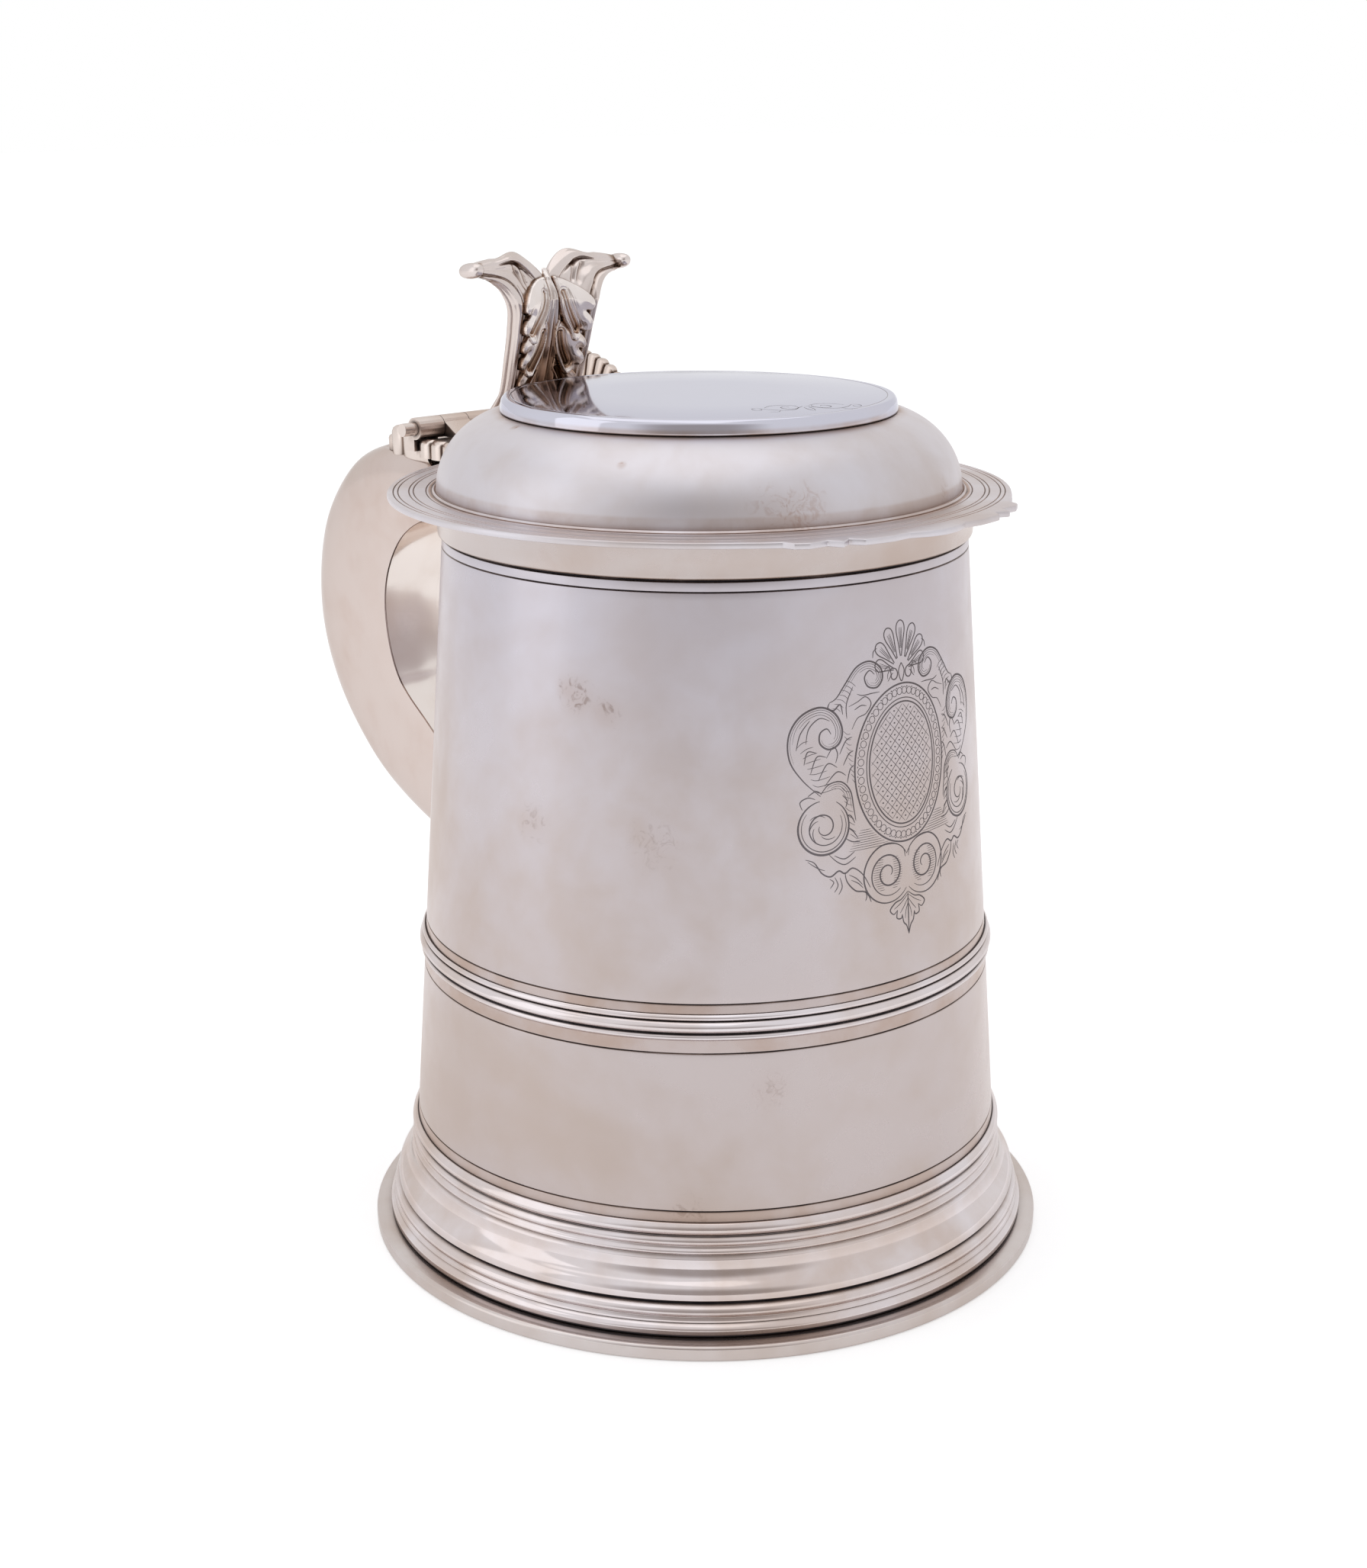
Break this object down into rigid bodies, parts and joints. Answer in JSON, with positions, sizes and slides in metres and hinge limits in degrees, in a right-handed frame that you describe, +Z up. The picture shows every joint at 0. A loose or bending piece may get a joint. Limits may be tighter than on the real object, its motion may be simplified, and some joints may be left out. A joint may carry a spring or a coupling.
{
  "type": "lidded tankard",
  "caption": "Lidded silver tankard: plain tapering drum on a moulded foot, hollow scroll handle, dome lid with shaped front edge on a knuckle hinge, cast thumbpiece with a leaf.",
  "frame": {"origin": "on the drum's axis in the plane that the foot rim stands on; the bottom plate's underside is just above it", "axes": "+Z up along the drum's axis, +X towards the handle, +Y along the hinge pin towards its plain end"},
  "size_m": [0.1823, 0.13, 0.1835],
  "materials": {
    "satin_silver": "satin polished silver with warm tarnish",
    "polished_silver": "mirror polished silver",
    "cast_silver": "cast and chased silver, dark in the hollows"
  },
  "bodies": {
    "tankard": {"body_drum": "satin_silver", "bottom_plate": "satin_silver", "lip_moulding": "satin_silver", "mid_band": "satin_silver", "foot_moulding": "satin_silver", "foot_rim": "satin_silver", "handle_back": "satin_silver", "handle_inner": "satin_silver", "handle_hinge_plate": "cast_silver", "handle_knuckle_near": "cast_silver", "handle_knuckle_mid": "cast_silver", "handle_knuckle_far": "cast_silver"},
    "lid": {"hinge_pin": "cast_silver", "pin_shell_head": "cast_silver", "lid_cover": "satin_silver", "lid_top_plate": "polished_silver", "lid_bezel": "satin_silver", "lid_hinge_plate": "cast_silver", "lid_knuckle_near": "cast_silver", "lid_knuckle_far": "cast_silver", "thumbpiece": "cast_silver", "thumbpiece_leaf": "cast_silver"}
  },
  "joints": [
    {"name": "lid_hinge", "type": "hinge", "parent": "tankard", "child": "lid", "pos_m": [0.0646, 0, 0.1489], "axis": [0, 1, 0], "range_deg": [0, 95]}
  ]
}
